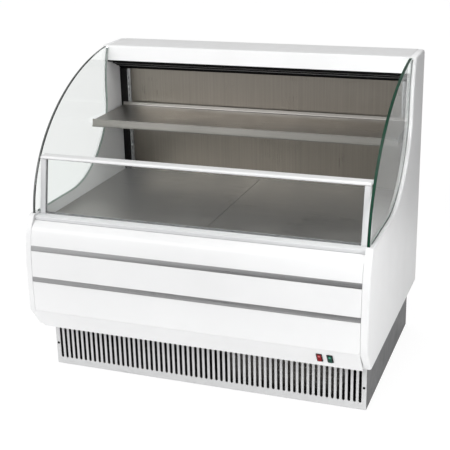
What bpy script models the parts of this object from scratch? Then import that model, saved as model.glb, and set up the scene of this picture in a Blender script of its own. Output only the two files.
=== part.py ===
"""Open refrigerated deli case: insulated tub between two end walls, curved end
panes, low front glass, one shelf, night curtain and a machine base.

Metres, +Z up. X runs along the front (the viewer's left is -X), the front faces
-Y, and the origin is on the floor under the middle of the case.
"""
from math import atan2, cos, pi, radians, sin

import bmesh
import bpy
from mathutils import Vector
from mathutils.geometry import interpolate_bezier

# ---- driving dimensions --------------------------------------------------
WIDTH = 1.276
DEPTH = 0.900
HEIGHT = 1.1455
GAP = 0.0003                     # between pieces that touch
SHEET = 0.003                    # folded metal of the casing

FRONT = -DEPTH / 2
REAR = DEPTH / 2
END_OUT = WIDTH / 2
END_IN = END_OUT - 0.026         # inner face of the insulated end walls
INSIDE = END_IN - GAP            # half length of what fits between them

# cabinet
BODY_BOTTOM = 0.197
CHAMFER_TOP = 0.283
CHAMFER_FOOT = -0.398            # front edge of the underside
WALL_TOP = 0.6415                # level stretch of the end walls
SHOULDER_RADIUS = 0.025
SHOULDER_Y = -0.3874             # where the level stretch starts to round over
SHOULDER_FOOT = 0.6230           # and where it meets the front curve
LEDGE_TOP = 0.6335
LEDGE_FRONT = -0.3965
LEDGE_ROUND = 0.004
LEDGE_HEEL = -0.3925             # the sill's leg behind the fascia
FASCIA_TOP = 0.6190
ROLL_FROM = 0.588                # above this the fascia rolls back to the sill
TUB_FLOOR = 0.255
TUB_REAR = 0.395
CANOPY_BOTTOM = 1.0858
STRIPE_UPPER = (0.5145, 0.5340)
STRIPE_LOWER = (0.3970, 0.4160)

# base
BASE_HALF = 0.6094
BASE_FRONT = -0.3215
BASE_REAR = 0.4264
BASE_BOTTOM = 0.005
BASE_TOP = BODY_BOTTOM - GAP
BASE_SHEET = 0.0018
PAN_BOTTOM = 0.020
PAN_TOP = 0.0225
SLOT_COUNT = 60
SLOT_PITCH = 0.0199
SLOT_HALF_WIDTH = 0.0052
SLOT_LOW, SLOT_HIGH = 0.032, 0.157
SCREW_X, SCREW_Z = 0.6005, 0.0915

# display
REAR_PANEL = 0.372               # front face of the lining
DECK_TOP = 0.600
DECK_FRONT = -0.2645
SHELF_TOP = 0.8805
SHELF_FRONT = 0.088
SHELF_REAR = 0.3605
STANDARD_X = 0.571
GLASS_BACK = 0.003               # front glass behind the posts' front face
POST_X = (0.587, 0.608)
POST_DEPTH = 0.020
RAIL_BOTTOM, RAIL_TOP = 0.829, 0.841
END_GLASS_X = (0.6125, 0.6225)

# night curtain
BAR_REST = (0.2860, 1.0765)      # centre of the pull bar's section (y, z)
BAR_TILT = radians(-20)          # front edge up
BAR_HALF_LENGTH = 0.590
OUTLET = (0.3325, 1.0552)        # middle of the underside of the air outlet grille
OUTLET_TILT = radians(-23)
TRIM_BOTTOM = 1.0340             # black trim between the outlet and the lining
ROLLER = (0.300, 1.112)
ROLLER_RADIUS = 0.012
ROLL_RADIUS = 0.020

# switches on the chamfer
SWITCH_X = {"red": 0.467, "green": 0.504}
SWITCH_WINDOW = (0.0155, 0.0380)  # clear opening for a rocker
ROCKER_THROW = 7                  # degrees either side of level


# ---- helpers -------------------------------------------------------------
def clear_scene():
    for item in list(bpy.data.objects):
        bpy.data.objects.remove(item, do_unlink=True)


def material(name, colour, roughness=0.4, metallic=0.0, alpha=1.0):
    mat = bpy.data.materials.new(name)
    mat.use_nodes = True
    shader = mat.node_tree.nodes["Principled BSDF"]
    shader.inputs["Base Color"].default_value = (*colour, 1.0)
    shader.inputs["Roughness"].default_value = roughness
    shader.inputs["Metallic"].default_value = metallic
    shader.inputs["Alpha"].default_value = alpha
    return mat


def place(name, bm, mat, location=(0, 0, 0), rotation=(0, 0, 0), round_shape=False):
    """Turn a bmesh into a named object at its place."""
    bmesh.ops.recalc_face_normals(bm, faces=bm.faces[:])
    mesh = bpy.data.meshes.new(name)
    bm.to_mesh(mesh)
    bm.free()
    if round_shape:
        mesh.shade_smooth()
        mesh.set_sharp_from_angle(angle=radians(35))
    if mat:
        mesh.materials.append(mat)
    item = bpy.data.objects.new(name, mesh)
    bpy.context.scene.collection.objects.link(item)
    item.location = location
    item.rotation_euler = rotation
    return item


def block(name, low, high, mat, bevel=0.0):
    """Box between two corners."""
    bm = bmesh.new()
    bmesh.ops.create_cube(bm, size=1.0)
    size = Vector(high) - Vector(low)
    centre = (Vector(high) + Vector(low)) / 2
    bmesh.ops.scale(bm, vec=size, verts=bm.verts[:])
    item = place(name, bm, mat, location=centre)
    if bevel:
        add_bevel(item, bevel)
    return item


def add_bevel(item, width, segments=2, by_weight=False):
    mod = item.modifiers.new("edge", "BEVEL")
    mod.width = width
    mod.segments = segments
    mod.limit_method = "WEIGHT" if by_weight else "ANGLE"
    mod.angle_limit = radians(40)
    mod.use_clamp_overlap = False


def prism(name, outline, x_from, x_to, mat, round_end=0.0, round_shape=False):
    """Outline of (y, z) points run along X; round_end rounds the x_to rim."""
    bm = bmesh.new()
    weight = bm.edges.layers.float.new("bevel_weight_edge")
    verts = [bm.verts.new((x_from, y, z)) for y, z in outline]
    face = bm.faces.new(verts)
    run = bmesh.ops.extrude_face_region(bm, geom=[face])
    moved = [g for g in run["geom"] if isinstance(g, bmesh.types.BMVert)]
    bmesh.ops.translate(bm, vec=(x_to - x_from, 0, 0), verts=moved)
    for edge in bm.edges:
        if round_end and all(abs(v.co.x - x_to) < 1e-6 for v in edge.verts):
            edge[weight] = 1.0
    item = place(name, bm, mat, round_shape=round_shape)
    if round_end:
        add_bevel(item, round_end, segments=3, by_weight=True)
    return item


def plate(name, outline, holes, thickness, mat, location=(0, 0, 0), rotation=(0, 0, 0)):
    """Flat plate with openings: drawn in local XY, thick along local +Z."""
    bm = bmesh.new()
    for loop in [outline] + holes:
        verts = [bm.verts.new((x, y, 0)) for x, y in loop]
        for one, two in zip(verts, verts[1:] + verts[:1]):
            bm.edges.new((one, two))
    bmesh.ops.triangle_fill(bm, use_beauty=True, edges=bm.edges[:])
    run = bmesh.ops.extrude_face_region(bm, geom=bm.faces[:])
    moved = [g for g in run["geom"] if isinstance(g, bmesh.types.BMVert)]
    bmesh.ops.translate(bm, vec=(0, 0, thickness), verts=moved)
    return place(name, bm, mat, location=location, rotation=rotation)


def turned(name, profile, segments, mat, location=(0, 0, 0), rotation=(0, 0, 0), ring=False):
    """Profile of (radius, height) points spun about local Z."""
    bm = bmesh.new()
    verts = [bm.verts.new((r, 0, h)) for r, h in profile]
    pairs = list(zip(verts, verts[1:]))
    if ring:
        pairs.append((verts[-1], verts[0]))
    edges = [bm.edges.new(pair) for pair in pairs]
    bmesh.ops.spin(bm, geom=verts + edges, cent=(0, 0, 0), axis=(0, 0, 1),
                   angle=2 * pi, steps=segments, use_duplicate=False)
    bmesh.ops.remove_doubles(bm, verts=bm.verts[:], dist=1e-6)
    return place(name, bm, mat, location=location, rotation=rotation, round_shape=True)


def boolean(item, tool, operation):
    tool.hide_render = True
    tool.display_type = "WIRE"
    mod = item.modifiers.new(operation.lower(), "BOOLEAN")
    mod.operation = operation
    mod.solver = "EXACT"
    mod.object = tool


def arc(centre, radius, start, end, steps):
    """Points on a circle from one angle to another, in degrees."""
    points = []
    for i in range(steps + 1):
        a = radians(start + (end - start) * i / steps)
        points.append((centre[0] + radius * cos(a), centre[1] + radius * sin(a)))
    return points


def rectangle(x0, y0, x1, y1):
    return [(x0, y0), (x1, y0), (x1, y1), (x0, y1)]


def bezier(p0, p1, p2, p3, steps):
    curve = interpolate_bezier(Vector((*p0, 0)), Vector((*p1, 0)),
                               Vector((*p2, 0)), Vector((*p3, 0)), steps + 1)
    return [(p.x, p.y) for p in curve]


# ---- outlines, all as (y, z) ----------------------------------------------
def fascia_curve():
    """Front of the cabinet from its shoulder down to the chamfer."""
    bulge = bezier((-0.4115, SHOULDER_FOOT), (-0.4400, 0.585), (-0.4470, 0.500),
                   (FRONT, 0.380), 16)
    return bulge + [(FRONT, CHAMFER_TOP)]


def fascia_y(z):
    """Front face of the fascia at a height between chamfer and sill."""
    curve = fascia_curve()
    for (y0, z0), (y1, z1) in zip(curve, curve[1:]):
        if z1 <= z <= z0:
            return y1 + (y0 - y1) * (z - z1) / (z0 - z1) + roll_back(z)
    return FRONT


def roll_back(z):
    """How far the fascia's top turns in behind the rims of the end walls."""
    rise = max(z - ROLL_FROM, 0.0) / (FASCIA_TOP - ROLL_FROM)
    return 0.0163 * rise * rise


def end_wall_front():
    """Edge of an end wall that faces the glass, from its top down to the sill."""
    head = [(0.2750, HEIGHT), (0.2640, 1.1180), (0.2520, 1.0900), (0.2450, 1.0500),
            (0.2420, 0.9900)]
    sweep = bezier((0.2390, 0.930), (0.2390, 0.820), (0.100, WALL_TOP),
                   (-0.100, WALL_TOP), 14)
    return head + sweep


def shoulder():
    """Rounding between the level top and the front face."""
    centre = (SHOULDER_Y, WALL_TOP - SHOULDER_RADIUS)
    return arc(centre, SHOULDER_RADIUS, 90, 165, 5)


def end_wall_outline():
    lower = fascia_curve()[1:]
    toe = arc((-0.3765, BODY_BOTTOM + 0.020), 0.020, 215, 270, 4)
    crown = arc((REAR - 0.015, HEIGHT - 0.015), 0.015, 0, 90, 4)
    return [(REAR, BODY_BOTTOM)] + crown + end_wall_front() + shoulder() + lower + toe


def end_glass_outline():
    """Pane between the end wall's front edge and the swept front line."""
    sweep = bezier((0.2620, 1.1425), (-0.108, 1.098), (-0.365, 0.883), (-0.389, 0.643), 20)
    foot = [(-0.3900, WALL_TOP + GAP)]
    edge = []
    for y, z in reversed(end_wall_front()[1:]):
        edge.append((y - 2 * GAP, z + GAP))
    top = [(0.2730, 1.1425)]
    return sweep + foot + edge + top


def lean(z):
    """Front face of the posts, which lean back as they rise."""
    return -0.363 + (z - LEDGE_TOP) * 0.190


# ---- cabinet ---------------------------------------------------------------
def cabinet(white, grey, foam):
    outer = [(REAR - 0.0005, BODY_BOTTOM + 0.0033), (-0.385, BODY_BOTTOM + 0.0033),
             (-0.430, 0.275), (-0.430, 0.500), (-0.3935, 0.6118)]
    inner = [(-0.335, 0.6118), (-0.345, 0.540), (-0.345, TUB_FLOOR), (TUB_REAR, TUB_FLOOR),
             (TUB_REAR, CANOPY_BOTTOM - 0.0006), (REAR - 0.0005, CANOPY_BOTTOM - 0.0006)]
    prism("tub", outer + inner, -INSIDE, INSIDE, foam)
    for side, sign in (("left", -1), ("right", 1)):
        prism("end_wall_" + side, end_wall_outline(), sign * END_IN, sign * END_OUT, white,
              round_end=0.008)
    band("upper_panel", STRIPE_UPPER[1] + GAP, FASCIA_TOP, 0.0, white)
    band("middle_panel", STRIPE_LOWER[1] + GAP, STRIPE_UPPER[0] - GAP, 0.0, white)
    band("lower_panel", CHAMFER_TOP + GAP, STRIPE_LOWER[0] - GAP, 0.0, white)
    band("upper_accent_strip", *STRIPE_UPPER, 0.0012, grey)
    band("lower_accent_strip", *STRIPE_LOWER, 0.0012, grey)
    switch_panel(white)


def band(name, low, high, recess, mat):
    """One stretch of the fascia, folded to the cabinet's front curve."""
    levels = [z for _, z in fascia_curve() if low + 0.004 < z < min(high - 0.004, ROLL_FROM)]
    if high > ROLL_FROM:
        levels = [ROLL_FROM + (high - ROLL_FROM) * i / 6 for i in (5, 4, 3, 2, 1, 0)] + levels
    levels = [high] + levels + [low]
    outer = [(fascia_y(z) + recess, z) for z in levels]
    inner = [(y + SHEET, z) for y, z in reversed(outer)]
    prism(name, outer + inner, -INSIDE, INSIDE, mat)


def chamfer_frame():
    """Middle of the chamfer and its turn about X: local Y points up the slope."""
    top = Vector((0, FRONT, CHAMFER_TOP))
    foot = Vector((0, CHAMFER_FOOT, BODY_BOTTOM + 0.0005))
    up = top - foot
    return (top + foot) / 2, atan2(up.z, up.y), up.length


def switch_panel(white):
    centre, turn, length = chamfer_frame()
    half = length / 2
    holes = []
    for x in SWITCH_X.values():
        w, h = SWITCH_WINDOW[0] / 2 + 0.0013, SWITCH_WINDOW[1] / 2 + 0.0013
        holes.append(rectangle(x - w, -h, x + w, h))
    outline = rectangle(-INSIDE, -half, INSIDE, half - 0.002)
    inward = Vector((0, sin(turn), -cos(turn))) * 0.002
    plate("switch_panel", outline, holes, 0.002, white,
          location=centre + inward, rotation=(turn, 0, 0))


def switches(black, lenses):
    centre, turn, _ = chamfer_frame()
    outward = Vector((0, -sin(turn), cos(turn)))
    half_w, half_h = SWITCH_WINDOW[0] / 2, SWITCH_WINDOW[1] / 2
    for name, x in SWITCH_X.items():
        spot = centre + Vector((x, 0, 0))
        rim = rectangle(-half_w - 0.0028, -half_h - 0.003, half_w + 0.0028, half_h + 0.003)
        window = rectangle(-half_w, -half_h, half_w, half_h)
        plate("switch_bezel_" + name, rim, [window], 0.0022, black,
              location=spot + outward * GAP, rotation=(turn, 0, 0))
        face = [(-0.0180, -0.0050), (0.0180, -0.0050), (0.0180, 0.0042), (0.0120, 0.0049),
                (0.0060, 0.0044), (0.0000, 0.0040), (-0.0060, 0.0044), (-0.0120, 0.0049),
                (-0.0180, 0.0042)]
        rocker = prism("rocker_" + name, face, -half_w + 0.0006, half_w - 0.0006, lenses[name])
        rocker.location = spot
        rocker.rotation_euler = (turn - radians(ROCKER_THROW), 0, 0)


# ---- base ------------------------------------------------------------------
def base(white, dark, zinc, black):
    slots = []
    for i in range(SLOT_COUNT):
        x = (i - (SLOT_COUNT - 1) / 2) * SLOT_PITCH
        r = SLOT_HALF_WIDTH
        slots.append(arc((x, SLOT_HIGH - r), r, 0, 180, 4)
                     + arc((x, SLOT_LOW + r), r, 180, 360, 4))
    for sign in (-1, 1):
        hole = arc((sign * SCREW_X, SCREW_Z), 0.0024, 0, 315, 7)
        slots.append(hole)
    upright = (pi / 2, 0, 0)
    plate("front_grille", rectangle(-BASE_HALF, BASE_BOTTOM, BASE_HALF, BASE_TOP), slots,
          BASE_SHEET, white, location=(0, BASE_FRONT + BASE_SHEET, 0), rotation=upright)
    back_slots = []
    for row in range(5):
        z = 0.045 + row * 0.026
        for column in range(6):
            x = -0.480 + column * 0.192
            back_slots.append(rectangle(x - 0.075, z, x + 0.075, z + 0.009))
    plate("base_rear_grille", rectangle(-BASE_HALF + 0.0025, BASE_BOTTOM, BASE_HALF - 0.0025,
                                        BASE_TOP),
          back_slots, BASE_SHEET, dark, location=(0, BASE_REAR, 0), rotation=upright)
    for side, sign in (("left", -1), ("right", 1)):
        inner, outer = sorted((sign * (BASE_HALF - 0.002), sign * BASE_HALF))
        block("base_side_" + side, (inner, BASE_FRONT + BASE_SHEET + GAP, BASE_BOTTOM),
              (outer, BASE_REAR, BASE_TOP), dark)
        turned("grille_screw_" + side, [(0, -0.006), (0.0020, -0.006), (0.0020, GAP),
                                        (0.0048, GAP), (0.0044, 0.0016), (0.0026, 0.0024),
                                        (0, 0.0026)],
               12, black, location=(sign * SCREW_X, BASE_FRONT, SCREW_Z), rotation=upright)
    block("base_pan", (-0.606, BASE_FRONT + 0.0030, PAN_BOTTOM), (0.606, BASE_REAR - 0.0030,
                                                                 PAN_TOP), zinc)
    for end, y in (("front", -0.270), ("rear", 0.380)):
        for side, x in (("left", -0.540), ("right", 0.540)):
            turned(f"foot_{end}_{side}", [(0, 0), (0.022, 0), (0.022, 0.004), (0.012, 0.008),
                                          (0.006, 0.009), (0.006, PAN_BOTTOM - GAP),
                                          (0, PAN_BOTTOM - GAP)],
                   20, zinc, location=(x, y, 0))


# ---- front sill and glass ----------------------------------------------------
def front_glazing(steel, white, glass):
    edge = arc((LEDGE_FRONT + LEDGE_ROUND, LEDGE_TOP - LEDGE_ROUND), LEDGE_ROUND, 90, 180, 4)
    nose = [(-0.335, 0.6124), (-0.335, LEDGE_TOP)] + edge
    nose += [(LEDGE_FRONT, FASCIA_TOP + GAP), (LEDGE_HEEL, FASCIA_TOP + GAP),
             (LEDGE_HEEL, 0.6124)]
    prism("front_ledge", nose, -INSIDE, INSIDE, steel)
    low, high = LEDGE_TOP + GAP, RAIL_BOTTOM - GAP
    pane = [(lean(low) + GLASS_BACK, low), (lean(high) + GLASS_BACK, high),
            (lean(high) + GLASS_BACK + 0.006, high), (lean(low) + GLASS_BACK + 0.006, low)]
    prism("front_glass", pane, -POST_X[0] + 0.001, POST_X[0] - 0.001, glass)
    post = [(lean(low), low), (lean(high), high), (lean(high) + POST_DEPTH, high),
            (lean(low) + POST_DEPTH, low)]
    for side, sign in (("left", -1), ("right", 1)):
        prism("glass_post_" + side, post, sign * POST_X[0], sign * POST_X[1], white)
        prism("end_glass_" + side, end_glass_outline(), sign * END_GLASS_X[0],
              sign * END_GLASS_X[1], glass)
    rail = block("glass_rail", (-0.6085, -0.3275, RAIL_BOTTOM), (0.6085, -0.2860, RAIL_TOP), white)
    add_bevel(rail, 0.003)


# ---- canopy, curtain and lamp ----------------------------------------------
def canopy_group(white, black, zinc, cloth, lens):
    top = HEIGHT - GAP
    shell = [(0.2600, CANOPY_BOTTOM), (0.2722, top - 0.003), (0.2755, top),
             (REAR - 0.0005, top), (REAR - 0.0005, CANOPY_BOTTOM),
             (REAR - 0.0035, CANOPY_BOTTOM), (REAR - 0.0035, top - SHEET),
             (0.2750, top - SHEET), (0.2630, CANOPY_BOTTOM)]
    prism("canopy", shell, -INSIDE, INSIDE, white)
    valance = [(0.2608, 1.0795), (0.2608, CANOPY_BOTTOM - 0.0006),
               (0.2645, CANOPY_BOTTOM - 0.0006), (0.2645, 1.0795)]
    prism("curtain_valance", valance, -INSIDE, INSIDE, black)
    slots = [rectangle(-0.570 + i * 0.048, -0.025, -0.570 + i * 0.048 + 0.036, 0.025)
             for i in range(24)]
    plate("discharge_grille", rectangle(-0.6110, -0.031, 0.6110, 0.031), slots, 0.010, black,
          location=(0, *OUTLET), rotation=(OUTLET_TILT, 0, 0))
    across = (0, pi / 2, 0)
    half = 0.606
    turned("curtain_roller", [(0, -half), (0.005, -half), (0.005, -0.590),
                              (ROLLER_RADIUS, -0.590), (ROLLER_RADIUS, 0.590), (0.005, 0.590),
                              (0.005, half), (0, half)],
           16, zinc, location=(0, *ROLLER), rotation=across)
    turned("curtain_roll", [(ROLLER_RADIUS + GAP, -0.578), (ROLL_RADIUS, -0.578),
                            (ROLL_RADIUS, 0.578), (ROLLER_RADIUS + GAP, 0.578)],
           20, cloth, location=(0, *ROLLER), rotation=across, ring=True)
    bar = [(-0.0120, -0.0030), (-0.0095, -0.0048), (0.0120, -0.0048), (0.0120, 0.0040),
           (-0.0095, 0.0040), (-0.0120, 0.0022)]
    pull_bar = prism("curtain_pull_bar", bar, -BAR_HALF_LENGTH, BAR_HALF_LENGTH, black)
    pull_bar.location = (0, *BAR_REST)
    pull_bar.rotation_euler = (BAR_TILT, 0, 0)
    trim = [(0.3614, 1.0426), (0.3700, TRIM_BOTTOM), (0.3717, TRIM_BOTTOM), (0.3717, 1.0500),
            (0.3662, 1.0500)]
    prism("outlet_trim", trim, -0.6110, 0.6110, black)
    prism("light_lens", arc((0.2735, 1.0960), 0.0055, 0, 345, 23), -0.550, 0.550, lens,
          round_shape=True)


# ---- display lining, shelf and deck --------------------------------------------
def display(steel, black, zinc, white):
    block("rear_panel", (-INSIDE, REAR_PANEL, DECK_TOP + GAP),
          (INSIDE, REAR_PANEL + 0.0015, CANOPY_BOTTOM - 0.001), steel)
    upright = (pi / 2, 0, 0)
    for side, sign in (("left", -1), ("right", 1)):
        inner, outer = sorted((sign * 0.582, sign * (INSIDE - 0.0004)))
        block("corner_strip_" + side, (inner, REAR_PANEL - 0.0060, DECK_TOP + GAP),
              (outer, REAR_PANEL - GAP, TRIM_BOTTOM - GAP), black)
        holes = [rectangle(-0.0016, z, 0.0016, z + 0.013)
                 for z in (0.640 + 0.025 * i for i in range(15))]
        upright_bar = rectangle(-0.0065, 0.620, 0.0065, TRIM_BOTTOM - GAP)
        plate("shelf_standard_" + side, upright_bar, holes, 0.0090, zinc,
              location=(sign * STANDARD_X, REAR_PANEL - GAP, 0), rotation=upright)
        arm = [(SHELF_REAR, SHELF_TOP - 0.0026), (SHELF_FRONT + 0.012, SHELF_TOP - 0.0026),
               (SHELF_FRONT + 0.012, SHELF_TOP - 0.018), (SHELF_REAR, SHELF_TOP - 0.085)]
        prism("shelf_bracket_" + side, arm, sign * (STANDARD_X - 0.0015),
              sign * (STANDARD_X + 0.0015), white)
    fold = 0.0020
    shelf = [(SHELF_FRONT, SHELF_TOP - 0.020), (SHELF_FRONT, SHELF_TOP),
             (SHELF_REAR - fold, SHELF_TOP), (SHELF_REAR - fold, SHELF_TOP + 0.014),
             (SHELF_REAR, SHELF_TOP + 0.014), (SHELF_REAR, SHELF_TOP - fold),
             (SHELF_FRONT + fold, SHELF_TOP - fold), (SHELF_FRONT + fold, SHELF_TOP - 0.020)]
    prism("shelf", shelf, -0.600, 0.600, steel)
    back = SHELF_FRONT - GAP
    ticket = [(back, 0.8530), (back, 0.8830), (back - 0.0022, 0.8830), (back - 0.0070, 0.8580),
              (back - 0.0090, 0.8580), (back - 0.0090, 0.8530)]
    prism("price_rail", ticket, -0.605, 0.605, steel)
    pan = [(DECK_FRONT, 0.575), (DECK_FRONT, DECK_TOP), (0.3705, DECK_TOP),
           (0.3705, DECK_TOP - fold), (DECK_FRONT + fold, DECK_TOP - fold),
           (DECK_FRONT + fold, 0.575)]
    prism("deck_pan_left", pan, -0.6105, -0.0006, steel)
    prism("deck_pan_right", pan, 0.0006, 0.6105, steel)
    slots = [rectangle(-0.585 + i * 0.030, -0.024, -0.585 + i * 0.030 + 0.018, 0.024)
             for i in range(40)]
    plate("return_grille", rectangle(-0.6105, -0.0335, 0.6105, 0.0335), slots, 0.0020, steel,
          location=(0, DECK_FRONT - 0.0340, DECK_TOP - 0.0020))


# ---- cooling machinery -----------------------------------------------------
def finned_block(name, length, height, depth, fins, mat, location, rotation=(0, 0, 0)):
    """Coil seen from its face: fins stand up out of a common root."""
    step = length / fins
    comb = [(-length / 2, 0)]
    for i in range(fins):
        x = -length / 2 + i * step
        comb += [(x, height), (x + step * 0.45, height)]
        if i < fins - 1:
            comb += [(x + step * 0.45, height * 0.12), (x + step, height * 0.12)]
    comb.append((length / 2 - step * 0.55, 0))
    return plate(name, comb, [], depth, mat, location=location, rotation=rotation)


def spoked_holes(centre, radius, hub, spokes=3, width=10):
    """Openings of a round fan port that leave a hub held by spokes."""
    loops = []
    for i in range(spokes):
        start, end = i * 360 / spokes + width, (i + 1) * 360 / spokes - width
        loops.append(arc(centre, radius, start, end, 8) + arc(centre, hub, end, start, 5))
    return loops


def fan(name, radius, hub_radius, mat, location, blades=5):
    """Rotor with pitched blades, on an axis along Y, in front of its hub plate."""
    facing = (pi / 2, 0, 0)
    rotor = turned(name, [(0, -0.012), (hub_radius, -0.012), (hub_radius, 0.010),
                          (hub_radius * 0.85, 0.013), (0, 0.013)],
                   20, mat, location=location, rotation=facing)
    bm = bmesh.new()
    for i in range(blades):
        middle = 2 * pi * i / blades
        rings = []
        for r, spread, tilt in ((hub_radius * 0.6, 0.30, 0.60), (radius * 0.62, 0.40, 0.48),
                                (radius * 0.86, 0.42, 0.40), (radius, 0.34, 0.36)):
            ring = []
            for side, lift in ((-1, -0.0008), (1, -0.0008), (1, 0.0008), (-1, 0.0008)):
                a = middle + side * spread + 0.12 * r / radius
                h = side * spread * r * tilt + lift
                ring.append(bm.verts.new((r * cos(a), r * sin(a), h)))
            rings.append(ring)
        for one, two in zip(rings, rings[1:]):
            for j in range(4):
                k = (j + 1) % 4
                bm.faces.new((one[j], one[k], two[k], two[j]))
        bm.faces.new(rings[0])
        bm.faces.new(list(reversed(rings[-1])))
    blade_set = place(name + "_blades", bm, None, location=location, rotation=facing)
    boolean(rotor, blade_set, "UNION")


def machinery(steel, black, copper, zinc):
    upright = (pi / 2, 0, 0)
    finned_block("evaporator_coil", 1.000, 0.115, 0.130, 32, steel, (0, 0.240, 0.285), upright)
    ports = [hole for x in (-0.25, 0.25) for hole in spoked_holes((x, 0.345), 0.074, 0.020)]
    plate("evaporator_fan_panel", rectangle(-0.520, TUB_FLOOR + GAP, 0.520, 0.440), ports, 0.0015,
          zinc, location=(0, 0.0700, 0), rotation=upright)
    for side, x in (("left", -0.25), ("right", 0.25)):
        fan("evaporator_fan_" + side, 0.068, 0.022, black, (x, 0.0550, 0.345))
    shell = [(0, PAN_TOP + GAP), (0.058, PAN_TOP + GAP), (0.072, 0.040), (0.076, 0.070),
             (0.076, 0.118), (0.070, 0.145), (0.054, 0.163), (0.028, 0.172), (0, 0.174)]
    turned("compressor", shell, 24, black, location=(-0.150, 0.120, 0))
    finned_block("condenser_coil", 0.440, 0.158, 0.040, 34, copper,
                 (0.300, -0.2450, PAN_TOP + GAP), upright)
    plate("condenser_fan_shroud", rectangle(0.080, PAN_TOP + GAP, 0.520, 0.186),
          spoked_holes((0.300, 0.105), 0.074, 0.022), 0.0015, zinc,
          location=(0, -0.2300, 0), rotation=upright)
    fan("condenser_fan", 0.068, 0.024, black, (0.300, -0.2150, 0.105))
    block("control_box", (0.360, -0.050, PAN_TOP + GAP), (0.540, 0.090, 0.135), zinc, bevel=0.002)


def build():
    clear_scene()
    white = material("white_paint", (0.88, 0.88, 0.88), 0.35)
    foam = material("white_lining", (0.80, 0.80, 0.80), 0.5)
    grey = material("accent_grey", (0.25, 0.25, 0.26), 0.4)
    dark = material("dark_grey_paint", (0.13, 0.13, 0.14), 0.45)
    black = material("black_plastic", (0.02, 0.02, 0.02), 0.5)
    steel = material("stainless", (0.55, 0.55, 0.55), 0.28, 1.0)
    zinc = material("galvanised", (0.50, 0.51, 0.52), 0.45, 0.9)
    copper = material("coil_metal", (0.45, 0.42, 0.40), 0.4, 0.9)
    glass = material("glass", (0.85, 0.95, 0.92), 0.03, 0.0, 0.3)
    cloth = material("curtain_cloth", (0.55, 0.56, 0.58), 0.7)
    lens = material("lamp_lens", (0.95, 0.95, 0.92), 0.4)
    lenses = {"red": material("red_rocker", (0.45, 0.02, 0.03), 0.25),
              "green": material("green_rocker", (0.00, 0.20, 0.10), 0.25)}
    cabinet(white, grey, foam)
    switches(black, lenses)
    base(white, dark, zinc, black)
    front_glazing(steel, white, glass)
    canopy_group(white, black, zinc, cloth, lens)
    display(steel, black, zinc, white)
    machinery(steel, black, copper, zinc)


build()
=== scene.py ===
"""Looks of the open refrigerated deli case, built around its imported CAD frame.

Metres, +Z up: X along the front, -Y towards the customer. Outlines below are
lists of (y, z) points that run along X unless a comment says otherwise.
"""
from math import atan2, cos, pi, radians, sin

import bmesh
import bpy
from mathutils import Matrix, Vector, noise
from mathutils.geometry import interpolate_bezier

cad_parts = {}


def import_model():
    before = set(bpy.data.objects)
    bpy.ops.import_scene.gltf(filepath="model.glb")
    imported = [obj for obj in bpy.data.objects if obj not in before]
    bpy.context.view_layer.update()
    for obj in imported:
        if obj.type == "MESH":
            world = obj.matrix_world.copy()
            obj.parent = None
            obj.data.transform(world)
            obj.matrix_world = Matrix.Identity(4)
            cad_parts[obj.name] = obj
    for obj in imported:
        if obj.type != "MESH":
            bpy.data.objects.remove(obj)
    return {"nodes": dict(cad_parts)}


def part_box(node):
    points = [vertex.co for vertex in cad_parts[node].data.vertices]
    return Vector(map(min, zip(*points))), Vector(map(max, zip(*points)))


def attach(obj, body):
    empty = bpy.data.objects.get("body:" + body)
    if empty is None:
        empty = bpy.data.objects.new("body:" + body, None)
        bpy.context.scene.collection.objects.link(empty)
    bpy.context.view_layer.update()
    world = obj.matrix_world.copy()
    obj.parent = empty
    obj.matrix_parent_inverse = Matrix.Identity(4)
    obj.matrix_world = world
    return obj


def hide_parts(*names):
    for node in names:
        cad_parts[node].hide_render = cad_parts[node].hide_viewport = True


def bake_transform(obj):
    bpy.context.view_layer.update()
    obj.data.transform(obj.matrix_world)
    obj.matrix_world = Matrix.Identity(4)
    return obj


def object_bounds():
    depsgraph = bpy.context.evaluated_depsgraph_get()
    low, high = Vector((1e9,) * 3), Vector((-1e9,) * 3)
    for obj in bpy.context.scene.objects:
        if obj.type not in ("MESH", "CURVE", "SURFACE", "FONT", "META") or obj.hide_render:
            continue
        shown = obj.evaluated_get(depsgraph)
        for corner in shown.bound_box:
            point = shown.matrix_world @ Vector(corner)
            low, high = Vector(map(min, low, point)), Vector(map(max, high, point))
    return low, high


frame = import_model()
CAD_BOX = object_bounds()
CAD_NODES = frame["nodes"]

HEIGHT = CAD_BOX[1].z
FRONT, REAR = CAD_BOX[0].y, CAD_BOX[1].y
END_OUT = CAD_BOX[1].x
END_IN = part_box("end_wall_right")[0].x
SEAM = 0.0007                         # open joint beside an end wall
INSIDE = END_IN - SEAM
ACROSS = (-INSIDE, INSIDE)            # from one end wall to the other
SIDES = (("left", -1), ("right", 1))


# ---- mesh helpers ----
def arc(centre, radius, start, end, steps):
    """Points on a circle from one angle to another, in degrees."""
    angles = [radians(start + (end - start) * i / steps) for i in range(steps + 1)]
    return [(centre[0] + radius * cos(a), centre[1] + radius * sin(a)) for a in angles]


def bezier(p0, p1, p2, p3, steps):
    handles = [Vector((*p, 0)) for p in (p0, p1, p2, p3)]
    return [(p.x, p.y) for p in interpolate_bezier(*handles, steps + 1)]


def straight(one, two, steps):
    return [(one[0] + (two[0] - one[0]) * i / steps, one[1] + (two[1] - one[1]) * i / steps)
            for i in range(steps + 1)]


def rectangle(x0, y0, x1, y1):
    return [(x0, y0), (x1, y0), (x1, y1), (x0, y1)]


def rounded_rectangle(x0, y0, x1, y1, radius, steps=5):
    corners = ((x1 - radius, y1 - radius, 0), (x0 + radius, y1 - radius, 90),
               (x0 + radius, y0 + radius, 180), (x1 - radius, y0 + radius, 270))
    loop = []
    for x, y, start in corners:
        loop += arc((x, y), radius, start, start + 90, steps)
    return loop


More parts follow.
